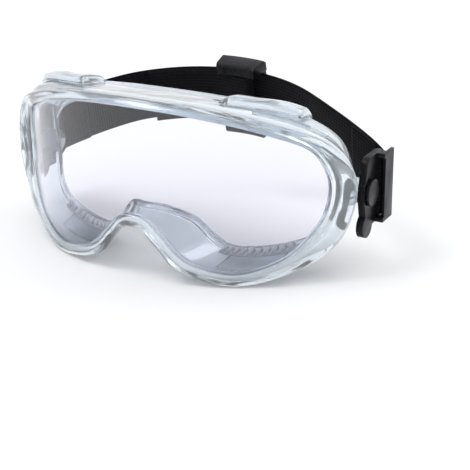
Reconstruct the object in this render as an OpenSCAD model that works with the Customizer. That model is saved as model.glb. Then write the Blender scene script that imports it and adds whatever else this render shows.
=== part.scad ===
// Clear splash goggles with a wrapped lens, covered vents, swivelling strap clips
// and an elastic headband with an adjuster.  +X wearer's left, +Y towards the head, +Z up.

/* [Frame] */
// Overall width of the frame
frame_w = 163; // [130:1:196]
// Overall height of the frame
frame_h = 76; // [63:1:92]
// Depth of the frame from lens centre to the seal at the temples
frame_d = 50; // [42:1:60]
// Half angle that the lens wraps round the face
wrap_deg = 58; // [50:1:62]
// Thickness of the frame's walls
wall_t = 2.2; // [1.8:0.1:2.7]
// How far the rim stands proud of the lens
lip_proud = 1.3; // [1:0.1:1.6]

/* [Lens] */
// Thickness of the lens
lens_t = 2.2; // [1.8:0.1:2.7]
// Depth of the lens edge inside its groove
lens_bite = 2.4; // [2:0.1:2.8]

/* [Vents] */
// Height of the upper vent covers above the roof
cover_h = 2.8; // [2.3:0.1:3.4]
// Number of ribs in each lower vent
comb_ribs = 10; // [8:1:12]
// Length of a lower vent rib
comb_len = 5; // [4.1:0.1:6]

/* [Strap clips] */
// Radius of the hub on the frame that the clip turns on
hub_r = 4.2; // [3.5:0.1:5]
// Running clearance between hub and clip, on the radius
hub_clear = 0.08; // [0.04:0.01:0.1]
// Thickness of the clip plate
clip_t = 3; // [2.5:0.1:3.6]
// Width of the wall round the clip's eye
eye_wall = 2.1; // [1.8:0.1:2.5]
// Radius of the strap bar
bar_r = 1.5; // [1.25:0.05:1.8]

/* [Headband] */
// Width of the elastic
strap_w = 25; // [20:0.5:30]
// Thickness of the elastic
strap_t = 1.5; // [1.2:0.1:1.8]
// Radius of the elastic's bend behind the head
back_r = 80; // [76:1:86]
// Rise of the elastic from the clips to the back
strap_rise = 18; // [15:1:21]
// Slope of the elastic's plane
strap_tilt = 15; // [12:1:18]
// Distance from the lens to the elastic's middle behind the head
strap_reach = 98; // [95:1:117]
// Sideways shift of the bend behind the head, as the loose elastic lies
bend_shift = -3; // [-5:0.5:5]

/* [Adjuster] */
// Width of the adjuster along the elastic
slider_w = 21; // [17.5:0.5:25.5]
// Thickness of the adjuster's bars
slider_bar = 1.7; // [1.4:0.1:2.1]
// Clearance between the adjuster and the elastic
slider_clear = 0.35; // [0.3:0.05:0.6]

/* [Hidden] */
$fn = 48;

half_w = frame_w / 2;
kx = frame_w / 163;
ky = frame_d / 50;
kz = frame_h / 76;
wrap_r = half_w / sin(wrap_deg);
seat_gap = 0.15;          // clearance of each lens face in its groove
rear_lip = 1.6;           // thickness of the lip behind the lens
seat = 0.4;               // clearance between the wall and a cover, baffle or comb
steps = 3;                // stations between two outline points

// Lens opening, [x, z], from the brow's centre round the wearer's left to the nose.
OPENING = [[0, 71.5], [20, 70.5], [38.6, 67.2], [54, 62.2], [66, 55.2], [71.8, 42.5], [71.3, 30],
           [67, 20.5], [58, 10.5], [43, 5], [29, 6.8], [20.5, 10.6], [13.5, 18], [6.6, 25], [0, 26.6]];
// Outer edge of the rim, [x, z, how far it stands proud of the lens, how far the wall behind it bulges].
RIM = [[0, 75.4, 1.2, 0.6], [21, 74.4, 1.2, 0.8], [40, 71.4, 1.4, 2], [55, 66.8, 2, 4.2], [69.5, 59, 3.2, 4],
       [77.4, 45, 4.6, 1.2], [77.4, 29, 4.6, 1], [73, 14.4, 2.6, 1], [60.5, 4.8, 1.4, 0.8], [43, 0, 1.2, 0.6],
       [27, 2.2, 1.2, 0.6], [17, 6.6, 1.2, 0.6], [10.2, 14.6, 1.2, 0.6], [4.8, 20.6, 1.2, 0.6], [0, 21.6, 1.2, 0.6]];
// Outer edge of the face seal, [x, y, z, width of the flange that turns in from it].
SEAL = [[0, 35, 68.8, 6.5], [21, 35, 68.6, 6.5], [39, 36.5, 67, 6.5], [55, 41, 62.5, 7], [67, 46, 54, 5.5],
        [71.5, 50, 44, 4], [71, 50, 30, 4], [68.5, 47, 15.5, 4], [58, 40, 9.5, 4], [43, 35, 5.5, 4], [29, 31, 5, 4],
        [21.5, 28, 10.5, 3.6], [14.5, 24.5, 18.6, 3.4], [7.5, 17, 24, 3.4], [0, 13.5, 25.6, 3.4]];

function mirrored(pts) =
    concat(pts, [for (i = [len(pts) - 2:-1:1]) concat([-pts[i][0]], [for (j = [1:len(pts[i]) - 1]) pts[i][j]])]);
OPENING_LOOP = mirrored(OPENING);
RIM_LOOP = mirrored(RIM);
SEAL_LOOP = mirrored(SEAL);
LOOP_N = len(OPENING_LOOP);

// A smooth closed curve through the points of a loop; u counts points from the brow.
function spline(a, b, c, d, t) =
    0.5 * (2 * b + (c - a) * t + (2 * a - 5 * b + 4 * c - d) * t * t + (3 * b - a - 3 * c + d) * t * t * t);
function loop_at(pts, u) =
    let (n = len(pts), i = floor(u), k = i + n)
    spline(pts[(k - 1) % n], pts[k % n], pts[(k + 1) % n], pts[(k + 2) % n], u - i);
function unit(v) = v / norm(v);
function lerp(a, b, s) = a * (1 - s) + b * s;

// A point at [x, z] of the lens's front, moved out from the lens by proud.
function on_wrap(x, z, proud) =
    let (a = asin(x / wrap_r))
    [(wrap_r + proud) * sin(a), wrap_r - (wrap_r + proud) * cos(a), z];
function opening_at(u) = let (p = loop_at(OPENING_LOOP, u)) [p[0] * kx, p[1] * kz];
function rim_at(u) = let (p = loop_at(RIM_LOOP, u)) [p[0] * kx, p[1] * kz, p[2]];
function bulge_at(u) = loop_at(RIM_LOOP, u)[3];
function seal_at(u) = let (p = loop_at(SEAL_LOOP, u)) [p[0] * kx, p[1] * ky, p[2] * kz];
function flange_at(u) = loop_at(SEAL_LOOP, u)[3];
// A point across the rim: s = 0 at the opening, s = 1 at the outer edge.
function across_rim(u, s, proud) =
    let (a = opening_at(u), b = rim_at(u), x = lerp(a[0], b[0], s), z = lerp(a[1], b[1], s))
    on_wrap(x, z, proud);
// A point outside the opening by the distance d, level with the lens.
function past_opening(u, d, proud) =
    let (a = opening_at(u), b = rim_at(u), w = norm([b[0] - a[0], b[1] - a[1]]))
    across_rim(u, d / w, proud);
function wall_start(u) = let (b = rim_at(u)) on_wrap(b[0], b[1], b[2] - 2);
// Unit vector that points out of the frame's wall.
function wall_out(u) =
    let (b = wall_start(u), along = unit(seal_at(u) - b), raw = b - across_rim(u, 0, 0))
    unit(raw - (raw * along) * along);
// A point on the wall: s runs from the rim to the seal, out is the distance outside it.
function wall_at(u, s, out) =
    lerp(wall_start(u), seal_at(u), s) + (bulge_at(u) * 4 * s * (1 - s) + out) * wall_out(u);

// A closed skin: rows of points, each row a closed ring; the rows join up or end in caps.
function ring_faces(rows, n, closed) = [
    for (i = [0:rows - (closed ? 1 : 2)])
        for (j = [0:n - 1])
            let (a = i * n + j, b = i * n + (j + 1) % n, c = ((i + 1) % rows) * n + (j + 1) % n,
                 d = ((i + 1) % rows) * n + j)
            each [[a, b, c], [a, c, d]]];
module tube_of(rings, closed) {
    n = len(rings[0]);
    m = len(rings);
    caps = closed ? [] : [[for (j = [n - 1:-1:0]) j], [for (j = [0:n - 1]) (m - 1) * n + j]];
    polyhedron(points = [for (r = rings) each r], faces = concat(ring_faces(m, n, closed), caps), convexity = 8);
}

// Everything is drawn from the lens's centre, then moved so that the origin is mid-depth.
front_y = -1.7;
back_y = strap_reach + 7;
module placed() {
    translate([0, -(back_y + front_y) / 2, 0]) children();
}
module on_side(left) {
    mirror([left ? 0 : 1, 0, 0]) children();
}

// ---- Frame ----
// The closed section of the frame at station u: groove, front lip, rim, wall, seal and back.
seal_flare = 1.2;         // how far the seal's edge stands out from the wall
function frame_section(u) =
    let (root = lens_bite + 0.2, back = lens_t + seat_gap, p = rim_at(u)[2])
    [past_opening(u, root, seat_gap),
     past_opening(u, 0, seat_gap),
     past_opening(u, 0.2, lip_proud),
     across_rim(u, 0.4, lerp(lip_proud, p, 0.5) + 0.5),
     across_rim(u, 0.75, p + 0.5),
     across_rim(u, 0.96, p - 0.4),
     wall_at(u, 0, 0),
     wall_at(u, 0.18, 0),
     wall_at(u, 0.34, 0),
     wall_at(u, 0.5, 0),
     wall_at(u, 0.66, 0),
     wall_at(u, 0.82, 0),
     wall_at(u, 0.92, 0.2),
     wall_at(u, 0.98, seal_flare),
     wall_at(u, 1.02, seal_flare * 0.5),
     wall_at(u, 1.01, -flange_at(u) * 0.7),
     wall_at(u, 0.97, -flange_at(u)),
     wall_at(u, 0.95, -flange_at(u) * 0.7),
     wall_at(u, 0.9, -wall_t),
     wall_at(u, 0.74, -wall_t),
     wall_at(u, 0.58, -wall_t),
     wall_at(u, 0.42, -wall_t),
     wall_at(u, 0.27, -wall_t),
     past_opening(u, root * 0.8, -back - rear_lip),
     past_opening(u, 0.3, -back - rear_lip * 0.9),
     past_opening(u, 0, -back),
     past_opening(u, root, -back)];

// Hub on which the strap clip turns.
hub_y = 48.4 * ky;
hub_z = 33.8 * kz;
clip_gap = 0.3;                        // clearance beside the clip plate
clip_front = hub_y - hub_r - hub_clear - eye_wall;
// Widest part of the wall beside the clip, where the clip swings.
wall_x = max([for (u = [4.5:0.25:6.5]) for (s = [0.05:0.05:0.95])
    let (p = wall_at(u, s, 0)) p[1] > clip_front - 1 ? p[0] : 0]);
clip_x = wall_x + clip_gap;            // inner face of the clip plate
hub_root = clip_x - 9.5;
cap_t = 1.2;
hub_end = clip_x + clip_t + clip_gap;
module hub() {
    translate([hub_root, hub_y, hub_z]) rotate([0, 90, 0]) cylinder(r = hub_r, h = hub_end - hub_root);
    translate([hub_root, hub_y, hub_z]) rotate([0, 90, 0]) cylinder(r = hub_r + 1, h = clip_x - clip_gap - hub_root);
}
module frame() {
    color([0.82, 0.9, 0.96, 0.5]) placed() {
        tube_of([for (i = [0:LOOP_N * steps - 1]) frame_section(i / steps)], true);
        on_side(true) hub();
        on_side(false) hub();
    }
}

// ---- Lens ----
module lens() {
    outline = [for (i = [0:LOOP_N * steps - 1])
        let (u = i / steps, p = past_opening(u, lens_bite, -lens_t))
        [p[0], p[2]]];
    color([0.9, 0.92, 0.98, 0.35]) placed()
        intersection() {
            translate([0, wrap_r, -1]) difference() {
                cylinder(r = wrap_r, h = frame_h + 2, $fn = 96);
                translate([0, 0, -1]) cylinder(r = wrap_r - lens_t, h = frame_h + 4, $fn = 96);
            }
            translate([0, wrap_r * 0.8, 0]) rotate([90, 0, 0]) linear_extrude(wrap_r) polygon(outline);
        }
}

// ---- Vents ----
// A shell over the wall between stations u0 and u1, open towards the seal.
module wall_cover(u0, u1, s0, s1, h, skin) {
    n = 14;
    tube_of([for (i = [0:n])
        let (u = lerp(u0, u1, i / n), edge = min(i, n - i), rise = edge == 0 ? 0.35 : edge == 1 ? 0.8 : 1,
             hollow = edge < 2 ? seat : h - skin)
        [wall_at(u, s0, seat),
         wall_at(u, lerp(s0, s1, 0.06), h * 0.7 * rise + seat),
         wall_at(u, lerp(s0, s1, 0.2), h * rise + seat),
         wall_at(u, lerp(s0, s1, 0.6), h * rise + seat),
         wall_at(u, lerp(s0, s1, 0.94), h * rise * 0.95 + seat),
         wall_at(u, s1, h * rise * 0.8 + seat),
         wall_at(u, s1, max(seat, min(hollow, h * rise * 0.6))),
         wall_at(u, lerp(s0, s1, 0.5), max(seat, min(hollow, h * rise * 0.6))),
         wall_at(u, lerp(s0, s1, 0.2), max(seat, min(hollow, h * rise * 0.6))),
         wall_at(u, lerp(s0, s1, 0.16), seat)]], false);
}
module upper_vent_cover(left) {
    color([0.84, 0.92, 0.97, 0.5]) placed() on_side(left) wall_cover(1.55, 3.3, 0.3, 0.9, cover_h, 1.1);
}
// A plate under the vented wall that stops a straight splash.
module baffle(u0, u1, s0, s1, drop, skin) {
    n = 8;
    tube_of([for (i = [0:n])
        let (u = lerp(u0, u1, i / n), in = -wall_t - seat)
        [wall_at(u, s0, in),
         wall_at(u, s0 + 0.06, in),
         wall_at(u, s0 + 0.1, in - drop + skin),
         wall_at(u, s1, in - drop + skin),
         wall_at(u, s1, in - drop),
         wall_at(u, s0 + 0.02, in - drop)]], false);
}
module upper_vent_baffle(left) {
    color([0.86, 0.92, 0.96, 0.5]) placed() on_side(left) baffle(2.2, 3.9, 0.45, 0.9, 4, 1.2);
}
// A strip with a row of ribs, which stands on the floor of the frame along the seal.
module lower_vent_comb(left) {
    u0 = 8.1;
    u1 = 10.3;
    s1 = 0.9;
    s0 = s1 - comb_len / (frame_d * 0.6);
    base = -wall_t - seat;
    strip_t = 0.9;
    rib = 0.26;
    m = 12;
    color([0.86, 0.92, 0.96, 0.6]) placed() on_side(left) {
        tube_of([for (i = [0:m])
            let (u = lerp(u0, u1, i / m))
            [wall_at(u, s1, base),
             wall_at(u, s1, base - strip_t),
             wall_at(u, s0, base - strip_t),
             wall_at(u, s0, base)]], false);
        for (i = [0:comb_ribs - 1]) {
            u = lerp(u0, u1, (i + 0.5) / comb_ribs);
            w = (u1 - u0) / comb_ribs * rib;
            tube_of([for (k = [-1:2:1])
                [wall_at(u + k * w, s1 - 0.01, base - strip_t / 2),
                 wall_at(u + k * w, s1 - 0.01, base - 2.4),
                 wall_at(u + k * w, lerp(s1, s0, 0.3), base - 3),
                 wall_at(u + k * w, s0 + 0.01, base - 2),
                 wall_at(u + k * w, s0 + 0.01, base - strip_t / 2)]], false);
        }
    }
}
module lower_vent_cover(left) {
    color([0.84, 0.92, 0.97, 0.5]) placed() on_side(left) wall_cover(8.4, 9.9, 0.42, 0.9, 1.7, 0.8);
}

// ---- Strap clips ----
clip_h = strap_w + 4.4;
corner_r = 4;
slot_gap = 1;                           // clearance of the elastic in its slot
slot_side = 0.35;                       // clearance between the elastic and the outer bar
eye_r = hub_r + hub_clear + eye_wall;
bar_y = hub_y + eye_r + slot_gap + strap_t + bar_r;
slot_front = bar_y - bar_r - strap_t - slot_gap;
module clip_shape() {
    // plate around the eye, straight at the strap's slot
    hull() {
        translate([hub_y, hub_z]) circle(r = eye_r, $fn = 32);
        for (k = [-1, 1])
            translate([hub_y, hub_z + k * (clip_h / 2 - corner_r)]) circle(r = corner_r, $fn = 32);
        translate([slot_front - 1, hub_z - clip_h / 2]) square([1, clip_h]);
    }
    // finger tab below the eye
    translate([hub_y - 2, hub_z - clip_h / 2 + 0.8]) circle(r = 5, $fn = 32);
}
module strap_clip(left) {
    arm = 1.9;
    cover_x = bar_x + loop_r + strap_t / 2 + slot_side;
    cover_t = 1.3;
    cover_w = 8.6;
    color([0.06, 0.06, 0.07]) placed() on_side(left) {
        difference() {
            translate([clip_x, 0, 0]) rotate([90, 0, 90]) linear_extrude(clip_t) clip_shape();
            translate([clip_x - 1, hub_y, hub_z]) rotate([0, 90, 0]) cylinder(r = hub_r + hub_clear, h = clip_t + 2);
        }
        // arms that carry the strap bar above and below the strap
        for (k = [-1, 1])
            translate([clip_x, slot_front - 0.5, hub_z + k * (clip_h / 2 - arm / 2) - arm / 2])
                cube([cover_x + cover_t - clip_x, bar_y - slot_front + 0.5, arm]);
        translate([clip_x + clip_t / 2, bar_y, hub_z - clip_h / 2]) cylinder(r = bar_r, h = clip_h);
        // outer bar that covers the strap's loop
        translate([cover_x, slot_front + 0.8, hub_z - clip_h / 2]) cube([cover_t, cover_w, clip_h]);
    }
}
// A ring that snaps over the hub's end and keeps the clip on.
module clip_retainer(left) {
    color([0.1, 0.1, 0.11]) placed() on_side(left)
        translate([hub_end + 0.02, hub_y, hub_z]) rotate([0, 90, 0]) cylinder(r = hub_r + 1.4, h = cap_t);
}

// ---- Headband ----
// The elastic lies in a plane that climbs backwards: a loop round each strap bar, a run, and an arc.
arc_y = strap_reach - back_r * cos(strap_tilt);     // centre of the bend behind the head
arc_deg = 33;
bar_x = clip_x + clip_t / 2;
loop_r = bar_r + 0.25 + strap_t / 2;
back_z = hub_z + strap_rise;
layer_gap = 0.1;                                    // between two sewn layers
// Places the adjuster's pieces in the tilted plane, with the bend's centre at the origin.
module at_bend() {
    translate([bend_shift, arc_y, back_z - back_r * sin(strap_tilt)]) rotate([strap_tilt, 0, 0])
        rotate([0, 0, -slider_a]) children();
}
function tilted(p) =
    [bend_shift + p[0], arc_y + p[1] * cos(strap_tilt), back_z + (p[1] - back_r) * sin(strap_tilt)];
function bend(a) = tilted([back_r * sin(a), back_r * cos(a)]);
// The left half of the elastic and the right half differ only in where the bend ends.
RUN_START = [bar_x + loop_r, bar_y + 1, hub_z];
function mirror_x(p, side) = concat([p[0] * side], [for (i = [1:len(p) - 1]) p[i]]);
// A smooth run from the clip to the bend, tangent to both; side is 1 on the left, -1 on the right.
function run(side, t) =
    let (p3 = mirror_x(bend(side * arc_deg), side), turn = unit(p3 - mirror_x(bend(side * (arc_deg - 1)), side)),
         p1 = RUN_START + [-0.3, 4, 2.4], p2 = p3 + 14 * turn)
    RUN_START * pow(1 - t, 3) + 3 * p1 * t * pow(1 - t, 2) + 3 * p2 * t * t * (1 - t) + p3 * pow(t, 3);
// The sewn end of the elastic, on the head's side of the run.
function run_inner(side, t) =
    let (d = unit(run(side, t + 0.01) - run(side, t - 0.01)), off = unit(cross(d, [0, 0, 1])))
    run(side, t) - off * (strap_t + layer_gap) * sign(off[0]);
function loop_point(a) = [bar_x + loop_r * cos(a), bar_y + loop_r * sin(a), hub_z];
function ease(t) = t * t * (3 - 2 * t);
// Each point of the elastic ends with how far its width leans: 0 upright at the clip, 1 square to the bend.
function half_band(side) = concat(
    [for (t = [0.5:-0.07:0.29]) concat(run_inner(side, t), [ease(t)])],
    [concat(lerp(run_inner(side, 0.22), loop_point(170), 0.45), [0])],
    [for (a = [180:30:360]) concat(loop_point(a), [0])],
    [for (i = [0:12]) concat(run(side, i / 12), [ease(i / 12)])],
    [for (a = [arc_deg - 3:-3:3]) concat(mirror_x(bend(side * a), side), [1])]);
function flipped(pts) = [for (i = [len(pts) - 1:-1:0]) mirror_x(pts[i], -1)];
BAND = concat(half_band(1), [concat(bend(0), [1])], flipped(half_band(-1)));

// A flat strip of elastic along a path of points [x, y, z, lean].
function strip_ring(pts, i, t, w) =
    let (n = len(pts), a = pts[min(i + 1, n - 1)], b = pts[max(i - 1, 0)], q = pts[i], p = [q[0], q[1], q[2]],
         d = unit([a[0] - b[0], a[1] - b[1], a[2] - b[2]]),
         up = [0, -sin(strap_tilt * q[3]), cos(strap_tilt * q[3])], side = unit(cross(d, up)))
    [p + side * t / 2 + up * w / 2, p + side * t / 2 - up * w / 2,
     p - side * t / 2 - up * w / 2, p - side * t / 2 + up * w / 2];
module strip(pts, t, w) {
    tube_of([for (i = [0:len(pts) - 1]) strip_ring(pts, i, t, w)], false);
}
module strap_band() {
    color([0.05, 0.05, 0.06]) placed() strip(BAND, strap_t, strap_w);
}

// ---- Adjuster ----
slider_h = strap_w + 11;
half_a = asin(slider_w / 2 / back_r);
slider_a = 3;                                                 // where the adjuster sits round the bend
bar_a = asin((slider_bar + 1.5) / back_r);
inner_1 = back_r - strap_t - slider_clear;                    // first layer of the tail
mid_bar_r = inner_1 - strap_t / 2 - slider_clear - slider_bar / 2;
inner_2 = mid_bar_r - slider_bar / 2 - slider_clear - strap_t / 2;
tail_a = -33;
centre_a = 2;
// A bar round the bend between two angles; its outline gives radius and height.
module arc_bar(a0, a1, outline) {
    rotate([0, 0, 90 - a1]) rotate_extrude(angle = a1 - a0, $fn = 96) polygon(outline);
}
function bar_outline(r0, r1, z0, z1) = [[r0, z0], [r1, z0], [r1, z1], [r0, z1]];
module strap_slider() {
    r_in = inner_2 - strap_t / 2 - slider_clear;
    r_out = back_r + strap_t / 2 + slider_clear + slider_bar;
    z_in = strap_w / 2 + slider_clear;
    z_out = slider_h / 2;
    side_a = asin((slider_w / 2 - slider_bar * 1.4) / back_r);
    end_a = half_a - 0.2;
    round = 1.3;
    color([0.05, 0.05, 0.06]) placed() at_bend() {
        for (k = [-1, 1])
            arc_bar(-half_a, half_a, [[r_in, k * z_in], [r_out, k * z_in], [r_out, k * (z_out - round)],
                                      [r_out - round, k * z_out], [r_in + round, k * z_out],
                                      [r_in, k * (z_out - round)]]);
        for (k = [-1, 1])
            arc_bar(k < 0 ? -end_a : side_a, k < 0 ? -side_a : end_a,
                    bar_outline(r_out - slider_bar, r_out - 0.2, -z_out + 2, z_out - 2));
        arc_bar(centre_a - bar_a, centre_a,
                bar_outline(mid_bar_r - slider_bar / 2, mid_bar_r + slider_bar / 2, -z_in - 0.5, z_in + 0.5));
    }
}
// The end of the elastic, folded round the adjuster's middle bar and sewn back on itself.
module strap_tail() {
    inner_3 = inner_1 - strap_t - 0.1;
    fold_r = (inner_1 - inner_2) / 2;
    function polar(a, r) = [r * sin(a), r * cos(a), 0, 0];
    nose = [for (b = [60:-30:-60]) polar(centre_a + 0.4 + fold_r * cos(b) / back_r * 57.3, mid_bar_r + fold_r * sin(b))];
    path = concat([for (i = [0:9]) polar(lerp(tail_a, centre_a - 1, i / 9), inner_1)],
                  nose,
                  [for (i = [0:6]) polar(lerp(centre_a - 0.5, -11, i / 6), lerp(inner_2, inner_3, ease(i / 6)))],
                  [for (i = [1:5]) polar(lerp(-11, tail_a, i / 5), inner_3)]);
    color([0.05, 0.05, 0.06]) placed() at_bend() strip(path, strap_t, strap_w);
}

frame();
lens();
upper_vent_cover(true);  // upper_vent_cover_left
upper_vent_cover(false);  // upper_vent_cover_right
upper_vent_baffle(true);  // upper_vent_baffle_left
upper_vent_baffle(false);  // upper_vent_baffle_right
lower_vent_comb(true);  // lower_vent_comb_left
lower_vent_comb(false);  // lower_vent_comb_right
lower_vent_cover(true);  // lower_vent_cover_left
lower_vent_cover(false);  // lower_vent_cover_right
strap_clip(true);  // strap_clip_left
strap_clip(false);  // strap_clip_right
clip_retainer(true);  // clip_retainer_left
clip_retainer(false);  // clip_retainer_right
strap_band();
strap_tail();
strap_slider();
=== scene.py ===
"""Clear splash goggles: wrapped lens, vent hoods, swivelling strap clips and a black elastic headband."""

import math

import bmesh
import bpy
import numpy as np
from mathutils import Matrix, Vector


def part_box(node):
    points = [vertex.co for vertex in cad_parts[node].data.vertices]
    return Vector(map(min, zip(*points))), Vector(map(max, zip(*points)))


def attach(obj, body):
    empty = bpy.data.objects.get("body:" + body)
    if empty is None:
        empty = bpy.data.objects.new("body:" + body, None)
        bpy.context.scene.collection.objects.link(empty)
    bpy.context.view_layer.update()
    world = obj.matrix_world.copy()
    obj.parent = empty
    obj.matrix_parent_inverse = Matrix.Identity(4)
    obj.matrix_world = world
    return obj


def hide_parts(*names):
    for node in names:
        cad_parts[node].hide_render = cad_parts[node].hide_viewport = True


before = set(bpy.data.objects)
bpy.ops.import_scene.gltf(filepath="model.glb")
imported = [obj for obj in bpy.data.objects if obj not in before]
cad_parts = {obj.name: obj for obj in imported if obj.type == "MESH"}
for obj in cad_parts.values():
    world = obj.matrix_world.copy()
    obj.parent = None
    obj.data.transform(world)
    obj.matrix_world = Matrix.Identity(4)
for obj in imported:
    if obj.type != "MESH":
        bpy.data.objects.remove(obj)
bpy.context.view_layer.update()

# ---- Camera ----
# A long lens, from the wearer's left front and above the brow.
# Its directions follow from azimuth, elevation and roll; its place is in metres.
azimuth, elevation, roll = math.radians(28.35), math.radians(22.32), math.radians(-0.68)
look = Vector((-math.sin(azimuth) * math.cos(elevation), math.cos(azimuth) * math.cos(elevation),
               -math.sin(elevation)))
level_right = look.cross(Vector((0, 0, 1))).normalized()
level_up = level_right.cross(look)
right = math.cos(roll) * level_right + math.sin(roll) * level_up
up = math.cos(roll) * level_up - math.sin(roll) * level_right
camera_data = bpy.data.cameras.new("camera")
camera_data.lens = 95.15
camera_data.sensor_width = 36
camera_data.clip_start = 0.01
camera = bpy.data.objects.new("camera", camera_data)
place = Vector((0.25605, -0.43955, 0.20739))
camera.matrix_world = Matrix.Translation(place) @ Matrix((right, up, -look)).transposed().to_4x4()
bpy.context.scene.collection.objects.link(camera)
bpy.context.scene.camera = camera


# ---- Soft frame ----
# One flexible clear PVC moulding: a grooved rim round the lens, a wall that wraps back to the face,
# and a seal whose edge turns in. Its sections run round the outline as in its mould.
def material(name, base, roughness, **sockets):
    """A Principled material; sockets give plain values by name with spaces as underscores."""
    made = bpy.data.materials.new(name)
    made.use_nodes = True
    shader = made.node_tree.nodes["Principled BSDF"]
    shader.inputs["Base Color"].default_value = (*base, 1)
    shader.inputs["Roughness"].default_value = roughness
    for socket, value in sockets.items():
        shader.inputs[socket.replace("_", " ")].default_value = value
    return made, made.node_tree, shader


def noise(tree, scale, detail):
    """Noise in Object coordinates, scale in waves a metre."""
    place = tree.nodes.new("ShaderNodeTexCoord")
    made = tree.nodes.new("ShaderNodeTexNoise")
    made.inputs["Scale"].default_value = scale
    made.inputs["Detail"].default_value = detail
    tree.links.new(place.outputs["Object"], made.inputs["Vector"])
    return made.outputs["Fac"]


def ramp(tree, source, stops):
    """Colours at positions along a mask."""
    made = tree.nodes.new("ShaderNodeValToRGB")
    for i, (at, tone) in enumerate(stops):
        stop = made.color_ramp.elements[i] if i < 2 else made.color_ramp.elements.new(at)
        stop.position = at
        stop.color = (*tone, 1)
    tree.links.new(source, made.inputs["Fac"])
    return made.outputs["Color"]


def bump(tree, shader, height, distance, strength):
    """Feeds a height to the shader's Normal; distance is in metres."""
    made = tree.nodes.new("ShaderNodeBump")
    made.inputs["Distance"].default_value = distance
    made.inputs["Strength"].default_value = strength
    tree.links.new(height, made.inputs["Height"])
    tree.links.new(made.outputs["Normal"], shader.inputs["Normal"])


def outward(obj):
    """Makes a closed mesh's faces agree and point outwards."""
    work = bmesh.new()
    work.from_mesh(obj.data)
    bmesh.ops.recalc_face_normals(work, faces=work.faces)
    work.to_mesh(obj.data)
    work.free()


def skins(name, grids, body, mat, closed=False):
    """One mesh from grids of points [row, column, xyz] whose columns close up.
    The rows close up too where closed is true; otherwise both ends are capped."""
    corners, faces, start = [], [], 0
    for points in grids:
        rows, columns = points.shape[:2]
        i, j = np.meshgrid(np.arange(rows if closed else rows - 1), np.arange(columns), indexing="ij")
        here, ahead, j2 = i * columns, (i + 1) % rows * columns, (j + 1) % columns
        quads = np.stack((here + j, here + j2, ahead + j2, ahead + j), -1).reshape(-1, 4)
        faces += (quads + start).tolist()
        if not closed:
            ring = np.arange(columns) + start
            faces += [ring[::-1].tolist(), (ring + (rows - 1) * columns).tolist()]
        corners.append(points.reshape(-1, 3))
        start += rows * columns
    mesh = bpy.data.meshes.new(name)
    mesh.from_pydata(np.concatenate(corners).tolist(), [], faces)
    mesh.polygons.foreach_set("use_smooth", np.ones(len(mesh.polygons), bool))
    mesh.materials.append(mat)
    made = bpy.data.objects.new(name, mesh)
    bpy.context.scene.collection.objects.link(made)
    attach(made, body)
    outward(made)
    return made


def smooth_loop(points, u):
    """Catmull-Rom curve through a closed list of rows, at the station numbers u."""
    points = np.asarray(points, float)
    n = len(points)
    k = np.floor(u).astype(int)
    t = (u - k)[:, None]
    a, b, c, d = (points[(k + i) % n] for i in (-1, 0, 1, 2))
    return 0.5 * (2 * b + (c - a) * t + (2 * a - 5 * b + 4 * c - d) * t ** 2 + (3 * b - a - 3 * c + d) * t ** 3)


def both_sides(rows):
    """Repeats a half outline on the wearer's right, so that it closes."""
    return rows + [[-row[0], *row[1:]] for row in rows[-2:0:-1]]


# The lens is part of a cylinder, 58 degrees round from the middle to 81.5 mm out. Half outlines in mm follow,
# from the brow round to the nose: the opening's x and height; the rim's x, height, stand in front of the lens
# and bulge of the wall behind it; the seal's x, depth, height and how far its edge turns in.
wrap_r = 81.5 / math.sin(math.radians(58))
opening = both_sides([[0, 71.5], [20, 70.5], [38.6, 67.2], [54, 62.2], [66, 55.2], [71.8, 42.5], [71.3, 30],
                      [67, 20.5], [58, 10.5], [43, 5], [29, 6.8], [20.5, 10.6], [13.5, 18], [6.6, 25], [0, 26.6]])
rim = both_sides([[0, 75.4, 1.2, .6], [21, 74.4, 1.2, .8], [40, 71.4, 1.4, 2], [55, 66.8, 2, 4.2],
                  [69.5, 59, 3.2, 4], [77.4, 45, 4.6, 1.2], [77.4, 29, 4.6, 1], [73, 14.4, 2.6, 1],
                  [60.5, 4.8, 1.4, .8], [43, 0, 1.2, .6], [27, 2.2, 1.2, .6], [17, 6.6, 1.2, .6],
                  [10.2, 14.6, 1.2, .6], [4.8, 20.6, 1.2, .6], [0, 21.6, 1.2, .6]])
seal = both_sides([[0, 35, 68.8, 6.5], [21, 35, 68.6, 6.5], [39, 36.5, 67, 6.5], [55, 41, 62.5, 7],
                   [67, 46, 54, 5.5], [71.5, 50, 44, 4], [71, 50, 30, 4], [68.5, 47, 15.5, 4],
                   [58, 40, 9.5, 4], [43, 35, 5.5, 4], [29, 31, 5, 4], [21.5, 28, 10.5, 3.6],
                   [14.5, 24.5, 18.6, 3.4], [7.5, 17, 24, 3.4], [0, 13.5, 25.6, 3.4]])
middle = 51.65      # depth of the origin behind the lens, in mm
wall_t, lens_t = 2.2, 2.2


def unit(v):
    """Rows of unit length."""
    return v / np.linalg.norm(v, axis=-1, keepdims=True)


def on_wrap(x, z, proud):
    """A point at x, z of the lens's cylinder, moved out along its radius by proud."""
    a = np.arcsin(x / wrap_r)
    return np.stack(((wrap_r + proud) * np.sin(a), wrap_r - (wrap_r + proud) * np.cos(a), z + 0 * a), -1)


def rim_point(u, s, proud):
    """Across the rim: s is 0 at the opening and 1 at the outer edge."""
    a, b = smooth_loop(opening, u), smooth_loop(rim, u)
    return on_wrap(a[:, 0] * (1 - s) + b[:, 0] * s, a[:, 1] * (1 - s) + b[:, 1] * s, proud)


def past_opening(u, d, proud):
    """Outside the opening by d mm, level with the lens."""
    a, b = smooth_loop(opening, u), smooth_loop(rim, u)
    return rim_point(u, d / np.linalg.norm(b[:, :2] - a, axis=1), proud)


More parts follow.
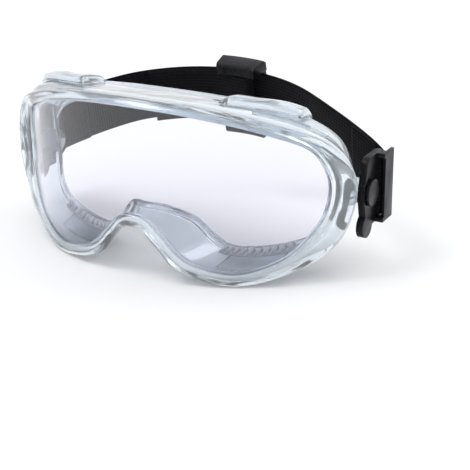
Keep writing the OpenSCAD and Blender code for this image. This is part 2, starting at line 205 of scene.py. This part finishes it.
def wall(u, s, out):
    """On the wall between rim (s 0) and seal (s 1), moved out along its normal.
    The wall is a straight line bulged by a parabola."""
    edge = smooth_loop(rim, u)
    back = smooth_loop(seal, u)
    start = on_wrap(edge[:, 0], edge[:, 1], edge[:, 2] - 2)
    along = unit(back[:, :3] - start)
    raw = start - rim_point(u, 0, 0)
    normal = unit(raw - (raw * along).sum(1, keepdims=True) * along)
    lift = edge[:, 3] * 4 * s * (1 - s) + out
    return start + (back[:, :3] - start) * s + lift[:, None] * normal


def row_frame(points):
    """Millimetres from the lens's centre to metres in the CAD frame."""
    return (np.asarray(points) - (0, middle, 0)) / 1000


u = np.arange(392) / 14
proud = smooth_loop(rim, u)[:, 2]
turn_in = smooth_loop(seal, u)[:, 3]
section = [past_opening(u, d, k) for d, k in ((2.6, .15), (.3, .15), (0, .35), (0, 1), (.35, 1.3))]
section += [rim_point(u, s, k) for s, k in ((.25, .6 + (1.3 + proud) / 4), (.45, .5 + (1.3 + proud) / 2),
                                            (.62, proud + .55), (.8, proud + .5), (.93, proud), (.99, proud - .7))]
section += [wall(u, s, k) for s, k in ((.02, 0), (.06, -.12), (.1, -.12), (.14, 0))]
section += [wall(u, s, 0) for s in (.2, .3, .4, .5, .6, .7, .8, .86, .9)]
section += [wall(u, s, k) for s, k in ((.93, .3), (.96, .9), (.985, 1.2), (1.01, 1.1), (1.02, .5))]
section += [wall(u, s, -turn_in * k) for s, k in ((1.015, .2), (1.015, .45), (1.015, .7), (.995, .95), (.97, 1),
                                                  (.955, .9), (.955, .7))]
section += [wall(u, .93, -wall_t - .3)] + [wall(u, s, -wall_t) for s in (.9, .8, .7, .6, .5, .4, .33, .28)]
section += [past_opening(u, d, -lens_t - k) for d, k in ((2.1, 1.7), (1, 1.7), (.25, 1.5), (0, 1), (0, .4),
                                                         (.3, .15), (2.6, .15))]
pvc, tree, shader = material("clear_pvc", (.875, .94, .99), .06, IOR=1.46, Transmission_Weight=.9,
                             Coat_Weight=.5, Coat_Roughness=.04)
bump(tree, shader, noise(tree, 60, 2), .0009, .4)
soft_frame = skins("soft_frame", [row_frame(np.stack(section, 1))], "goggle", pvc, closed=True)
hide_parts("frame")

# The hubs that the strap clips turn on, moulded with the frame: a collar and a pin on each side.
hub_y, hub_z = 48.4, 33.8
clip_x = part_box("strap_clip_left")[0][0] * 1000
x = clip_x + np.array([-9.5, -9.5, -.7, -.3, -.3, 3, 3.3, 3.3])[:, None]
r = np.array([.01, 5.2, 5.2, 4.9, 4.2, 4.2, 3.9, .01])[:, None]
turn = np.linspace(0, 2 * np.pi, 64, endpoint=False)
pin = np.stack((x + 0 * turn, hub_y + r * np.cos(turn), hub_z + r * np.sin(turn)), -1)
hubs = skins("hubs", [row_frame(pin * (side, 1, 1)) for side in (1, -1)], "goggle", pvc)

# ---- Lens ----
# A polycarbonate sheet, bent to a cylinder and sprung into the frame's groove.
# Its edge follows the opening, a little outside it.
glass, tree, shader = material("clear_lens", (.88, .878, .95), .01, IOR=1.5, Transmission_Weight=1.0,
                               Specular_IOR_Level=.16)
bump(tree, shader, noise(tree, 9, 1), .0005, .2)
across = np.linspace(-.997, .997, 200)
upper = past_opening(5.5 * abs(across), 2.4, -lens_t)[:, None]
lower = past_opening(14 - 8.5 * abs(across), 2.4, -lens_t)[:, None]


def lens_face(proud_by, v):
    """Upper and lower edges joined by straight upright lines at shares v, laid on the cylinder."""
    flat = upper * (1 - v[None, :, None]) + lower * v[None, :, None]
    x = flat[..., 0] * np.sign(across)[:, None]
    return on_wrap(x, flat[..., 2], proud_by)


down = np.linspace(0, 1, 49)
sheet = np.concatenate((lens_face(0, down), lens_face(-lens_t, down[::-1])), 1)
lens = skins("lens_sheet", [row_frame(sheet)], "goggle", glass)
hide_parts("lens")

# ---- Vent hoods, baffles and combs ----
# Clear covers over the vented wall above and below, plates under it that stop a straight splash,
# and a toothed strip on each side of the nose that keeps the lower vents open.
seat = .4


def hood(u0, u1, s0, s1, h, skin):
    """A shell over the wall from station u0 to u1 and from share s0 to s1 of the wall's width.
    Its height h is kept along its length and falls to about a third at both ends by a sine."""
    v = np.linspace(u0, u1, 61)
    end = np.minimum(v - u0, u1 - v) / (u1 - u0)
    rise = h * (.35 + .65 * np.sin(np.clip(end / .07, 0, 1) * np.pi / 2))
    hollow = np.where(end < .06, seat, np.maximum(seat, np.minimum(h - skin, rise * .6)))
    mix = lambda t: s0 * (1 - t) + s1 * t
    outside = ((0, .0), (.01, .35), (.035, .62), (.08, .84), (.14, .95), (.22, 1), (.4, 1.02), (.6, 1.02), (.8, 1),
               (.92, .98), (.98, .93), (1, .85))
    ring = [wall(v, mix(t), rise * k + seat) for t, k in outside]
    ring += [wall(v, mix(t), hollow) for t in (1, .8, .6, .4, .22)] + [wall(v, mix(.16), seat + 0 * v)]
    return np.stack(ring, 1)


def plate(u0, u1, s0, s1, drop, skin):
    """A baffle that hangs from the inside of the wall by one edge and runs back below it."""
    v = np.linspace(u0, u1, 41)
    ring = ((s0, 0), (s0 + .06, 0), (s0 + .07, -.8), (s0 + .1, skin - drop), (s1 - .05, skin - drop),
            (s1, skin - drop - .3), (s1, -drop + .3), (s1 - .03, -drop), (s0 + .05, -drop), (s0 + .02, -drop + .5))
    return np.stack([wall(v, s, k - wall_t - seat) for s, k in ring], 1)


def comb():
    """The base strip and ten teeth; a tooth is a small rounded block across the strip."""
    first, last, teeth, half_tooth = 8.1, 10.3, 10, .0572
    back, front, base = .9, .9 - 5 / 30, -wall_t - seat
    v = np.linspace(first, last, 41)
    strip = ((back, 0), (back, -.9), (front, -.9), (front, 0))
    pieces = [np.stack([wall(v, s, base + k) for s, k in strip], 1)]
    block = ((back - .01, -.5), (back - .01, -2.1), (back - .03, -2.6), (back - .06, -3), (front + .05, -2.8),
             (front + .02, -2.2), (front + .01, -1.8), (front + .01, -.5))
    low = np.array([.35, .12, .02, 0, .02, .12, .35])
    for centre in first + (last - first) * (np.arange(teeth) + .5) / teeth:
        v = centre + half_tooth * np.array([-1, -.85, -.5, 0, .5, .85, 1])
        pieces.append(np.stack([wall(v, s, base + k + low * (k < -1)) for s, k in block], 1))
    return pieces


comb_pvc, tree, shader = material("frosted_pvc", (.92, .955, 1), .16, IOR=1.46, Transmission_Weight=.4,
                                  Coat_Weight=.5)
bump(tree, shader, noise(tree, 300, 2), .0002, .4)
vents = {"upper_vent_cover": [hood(1.55, 3.3, .3, .9, 2.8, 1.1)],
         "lower_vent_cover": [hood(8.4, 9.9, .42, .9, 1.7, .8)],
         "upper_vent_baffle": [plate(2.2, 3.9, .45, .9, 4, 1.2)],
         "lower_vent_comb": comb()}
for name, grids in vents.items():
    for side, word in ((1, "left"), (-1, "right")):
        vent = skins(f"clear_{name}_{word}", [row_frame(g * (side, 1, 1)) for g in grids], "goggle",
                     comb_pvc if "comb" in name else pvc)
        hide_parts(f"{name}_{word}")

# ---- Strap clips and retainers ----
# Black nylon mouldings: a plate that turns on the frame's hub, with a bar for the elastic,
# kept on by a ring that snaps over the hub's end.
black, tree, shader = material("black_nylon", (.003, .003, .0045), .3, Coat_Weight=.02, Coat_Roughness=.2,
                               Specular_IOR_Level=.2)
bump(tree, shader, noise(tree, 1400, 3), .00006, .35)
dull = ramp(tree, noise(tree, 120, 4), [(.35, (.26, .26, .26)), (.7, (.42, .42, .42))])
tree.links.new(dull, shader.inputs["Roughness"])


def moulded(node, radius, body):
    """A copy of a CAD node, its doubles merged and its sharp edges rounded."""
    work = bmesh.new()
    work.from_mesh(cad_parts[node].data)
    bmesh.ops.remove_doubles(work, verts=work.verts, dist=2e-6)
    bmesh.ops.dissolve_limit(work, angle_limit=.01, verts=work.verts, edges=work.edges)
    name = "black_" + node
    mesh = bpy.data.meshes.new(name)
    work.to_mesh(mesh)
    work.free()
    mesh.materials.clear()
    mesh.materials.append(black)
    mesh.polygons.foreach_set("use_smooth", np.ones(len(mesh.polygons), bool))
    made = bpy.data.objects.new(name, mesh)
    bpy.context.scene.collection.objects.link(made)
    rounding = made.modifiers.new("rounding", "BEVEL")
    rounding.width = radius
    rounding.segments = 3
    rounding.limit_method = "ANGLE"
    rounding.angle_limit = .5
    rounding.harden_normals = True
    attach(made, body)
    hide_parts(node)


for word in ("left", "right"):
    moulded("strap_clip_" + word, .0006, "headband")
    moulded("clip_retainer_" + word, .0003, "goggle")

# ---- Headband ----
# Woven black elastic that dips to the clips from a circular bend behind the head.
# Each end is sewn back on itself round its clip's bar by two rows of stitches.
strap_w, strap_t, tilt = 25, 1.5, math.radians(15)
back_r, arc_deg, shift = 80, 33, -3
bar_x, bar_y, loop_r = clip_x + 1.5, 58.78, 2.5
arc_y, back_z = 98 - back_r * math.cos(tilt), 51.8


def bend(a, r=back_r):
    """Points at angles a in degrees and radii r about the bend's centre, in its tilted plane."""
    a = np.radians(a)
    back = r * np.cos(a)
    return np.stack((shift + r * np.sin(a), arc_y + back * math.cos(tilt),
                     back_z + (back - back_r) * math.sin(tilt)), -1)


def ease(t):
    """From 0 to 1 with level ends, by three squares less two cubes."""
    return t * t * (3 - 2 * t)


def run(side, t):
    """A cubic curve from the clip's bar to the bend, tangent to both; x is mirrored on the wearer's right."""
    flip = np.array((side, 1, 1))
    p3 = bend(side * arc_deg) * flip
    turn = unit(p3 - bend(side * (arc_deg - 1)) * flip)
    p0 = np.array((bar_x + loop_r, bar_y + 1, hub_z))
    p1, p2, t = p0 + (-.3, 4, 2.4), p3 + 14 * turn, np.asarray(t, float)[:, None]
    return p0 * (1 - t) ** 3 + 3 * p1 * t * (1 - t) ** 2 + 3 * p2 * t ** 2 * (1 - t) + p3 * t ** 3


def run_inner(side, t):
    """The sewn end, one thickness inside the run."""
    d = unit(run(side, np.asarray(t) + .01) - run(side, np.asarray(t) - .01))
    off = unit(np.cross(d, (0, 0, 1)))
    return run(side, t) - off * 1.6 * np.sign(off[:, :1])


def half_band(side):
    """Places and leans of half the elastic: sewn end, loop round the bar, run, bend."""
    sewn_t = np.linspace(.5, .25, 14)
    sewn = run_inner(side, sewn_t)
    a = np.radians(np.linspace(180, 360, 25))
    loop = np.stack((bar_x + loop_r * np.cos(a), bar_y + loop_r * np.sin(a), hub_z + 0 * a), -1)
    t = np.linspace(0, 1, 60)
    arc = bend(side * np.arange(arc_deg - 1, 0, -1)) * (side, 1, 1)
    joined = (sewn[-1:] * .55 + loop[:1] * .45) + (0, .35, 0)
    lean = np.concatenate((ease(sewn_t), [0], 0 * a, ease(t), 1 + 0 * arc[:, 0]))
    return np.concatenate((sewn, joined, loop, run(side, t), arc)), lean


def ribbon(path, lean):
    """The elastic along a path: its section is a rounded bar whose width follows the leaning upright.
    Returns the grid and, for each point, how far along and across the strip it lies, in metres."""
    d = unit(np.gradient(path, axis=0))
    rise = np.stack((0 * lean, -np.sin(tilt * lean), np.cos(tilt * lean)), -1)
    side = unit(np.cross(d, rise))
    k = np.linspace(-1, 1, 33)
    flat, edge = k * (strap_w / 2 - .35), strap_w / 2
    half_t = strap_t / 2 * (1 - .12 * np.abs(k) ** 6)
    across = np.concatenate((flat, [edge], flat[::-1], [-edge]))
    through = np.concatenate((half_t, [0], -half_t, [0]))
    grid = path[:, None] + rise[:, None] * across[None, :, None] + side[:, None] * through[None, :, None]
    along = np.concatenate(([0], np.cumsum(np.linalg.norm(np.diff(path, axis=0), axis=1))))
    weave = np.stack(np.broadcast_arrays(along[:, None] / 1000, across[None] / 1000, 0 * along[:, None]), -1)
    return grid, weave


elastic, tree, shader = material("black_elastic", (.005, .005, .007), .8, Sheen_Weight=.03,
                                 Specular_IOR_Level=.12)
thread = tree.nodes.new("ShaderNodeAttribute")
thread.attribute_name = "weave"
split = tree.nodes.new("ShaderNodeSeparateXYZ")
tree.links.new(thread.outputs["Vector"], split.inputs["Vector"])


def wave(source, per_metre):
    """A sine of one coordinate, between 0 and 1."""
    for kind, number in (("MULTIPLY", 2 * math.pi * per_metre), ("SINE", 0), ("MULTIPLY_ADD", .5)):
        step = tree.nodes.new("ShaderNodeMath")
        step.operation = kind
        tree.links.new(source, step.inputs[0])
        step.inputs[1].default_value = number
        step.inputs[2].default_value = .5
        source = step.outputs["Value"]
    return source


cords, picks = wave(split.outputs["Y"], 640), wave(split.outputs["X"], 900)
knit = tree.nodes.new("ShaderNodeMath")
knit.operation = "MULTIPLY"
tree.links.new(cords, knit.inputs[0])
tree.links.new(picks, knit.inputs[1])
bump(tree, shader, knit.outputs["Value"], .00028, .8)
# Painted shade in the weave: the colour is darker in the hollows between cords and picks and lighter on their
# crowns, following the same height that feeds the bump.
painted_weave_shade = ramp(tree, knit.outputs["Value"], [(0, (.0015, .0015, .002)), (1, (.009, .009, .013))])
tree.links.new(painted_weave_shade, shader.inputs["Base Color"])


def webbing(name, path, lean, body):
    """A length of the elastic, its weave kept as an attribute on each point."""
    grid, weave = ribbon(path, lean)
    made = skins(name, [row_frame(grid)], body, elastic)
    kept = made.data.attributes.new("weave", "FLOAT_VECTOR", "POINT")
    kept.data.foreach_set("vector", weave.ravel().astype(np.float32))
    return made


left_path, left_lean = half_band(1)
right_path, right_lean = half_band(-1)
band_path = np.concatenate((left_path, bend(np.array([0.])), (right_path * (-1, 1, 1))[::-1]))
band_lean = np.concatenate((left_lean, [1], right_lean[::-1]))
band = webbing("elastic_band", band_path, band_lean, "headband")
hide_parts("strap_band")

stitching, tree, shader = material("black_thread", (.012, .012, .016), .6)
bump(tree, shader, noise(tree, 2500, 2), .00005, .5)


def stitch_rows(side):
    """Two rows of stitches through both layers: each is an ellipsoid that lies along the strap's width."""
    a, b = np.meshgrid(np.linspace(.05, np.pi - .05, 6), np.linspace(0, 2 * np.pi, 8, endpoint=False), indexing="ij")
    a, b = a[..., None], b[..., None]
    long, thick, proud_by = .85, .2, .72
    made = []
    for t in (.36, .42):
        here, ahead = run(side, [t])[0], run(side, [t + .02])[0]
        d = unit(ahead - here)
        lean = ease(t) * tilt
        rise = np.array((0, -math.sin(lean), math.cos(lean)))
        out = unit(np.cross(d, rise))
        out = out * np.sign(out[0])
        for k in np.linspace(-10.8, 10.8, 10):
            centre = here + rise * k + out * proud_by
            made.append(centre + rise * long * np.cos(a) + (out * np.cos(b) + d * np.sin(b)) * thick * np.sin(a))
    return [grid * (side, 1, 1) for grid in made]


stitches = skins("elastic_stitches", [row_frame(g) for side in (1, -1) for g in stitch_rows(side)], "headband",
                 stitching)

# ---- Adjuster ----
# A black nylon three-bar slider that sits where the bend is circular.
# The elastic's end folds round its middle bar and runs back along itself, where the real strap is sewn; no stitches
# are drawn there.
slider_a, slider_bar, clear = 3, 1.7, .35
inner_1 = back_r - strap_t - clear
mid_r = inner_1 - strap_t / 2 - clear - slider_bar / 2
inner_2 = mid_r - slider_bar / 2 - clear - strap_t / 2
inner_3 = inner_1 - strap_t - .1
fold_r = (inner_1 - inner_2) / 2
b = np.radians(np.linspace(70, -70, 15))
fold = np.linspace(0, 1, 16)
angles = np.concatenate((np.linspace(-33, .8, 50), 2.4 + np.degrees(fold_r * np.cos(b) / back_r),
                         1.5 - 12.5 * fold, np.linspace(-12, -33, 30)))
radii = np.concatenate((np.full(50, inner_1), mid_r + fold_r * np.sin(b),
                        inner_2 + (inner_3 - inner_2) * ease(fold), np.full(30, inner_3)))
tail_path = bend(angles + slider_a, radii)
tail = webbing("elastic_tail", tail_path, np.ones(len(tail_path)), "adjuster")
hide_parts("strap_tail")
moulded("strap_slider", .0005, "adjuster")

# ---- Studio ----
# A pale floor that curves up behind, and a pale surround that the clear plastic mirrors.
# Two soft boxes add the shading.
sweep = np.array([[0, -1.2, 0], [0, .9, 0], [0, 1.15, .03], [0, 1.35, .12], [0, 1.45, .3], [0, 1.5, 1.6]])
grid = np.stack([sweep + (x, 0, -.0005) for x in (-1.8, 1.8)], 0)
floor_mesh = bpy.data.meshes.new("floor")
k = np.arange(5)
floor_mesh.from_pydata(grid.reshape(-1, 3).tolist(), [], np.stack((k, k + 6, k + 7, k + 1), -1).tolist())
floor_mesh.polygons.foreach_set("use_smooth", np.ones(len(floor_mesh.polygons), bool))
floor = bpy.data.objects.new("floor", floor_mesh)
bpy.context.scene.collection.objects.link(floor)
floor_mesh.materials.append(material("paper", (.96, .96, .96), .9)[0])
world = bpy.data.worlds.new("world")
bpy.context.scene.world = world
world.use_nodes = True
background = world.node_tree.nodes["Background"]
background.inputs["Color"].default_value = (.97, .98, 1, 1)
background.inputs["Strength"].default_value = .98
bpy.context.scene.view_settings.view_transform = "Standard"


def soft_box(name, place, aim, size, power):
    """An area light at place that faces aim."""
    data = bpy.data.lights.new(name, "AREA")
    data.shape = "RECTANGLE"
    data.size, data.size_y = size
    data.energy = power
    made = bpy.data.objects.new(name, data)
    turned = (Vector(aim) - Vector(place)).to_track_quat("-Z", "Y")
    made.matrix_world = Matrix.Translation(place) @ turned.to_matrix().to_4x4()
    bpy.context.scene.collection.objects.link(made)


soft_box("key", (-.4, -.4, .9), (0, 0, .03), (.4, .4), 2.5)
soft_box("rim", (.6, .5, .7), (0, 0, .03), (.4, .3), 1.2)
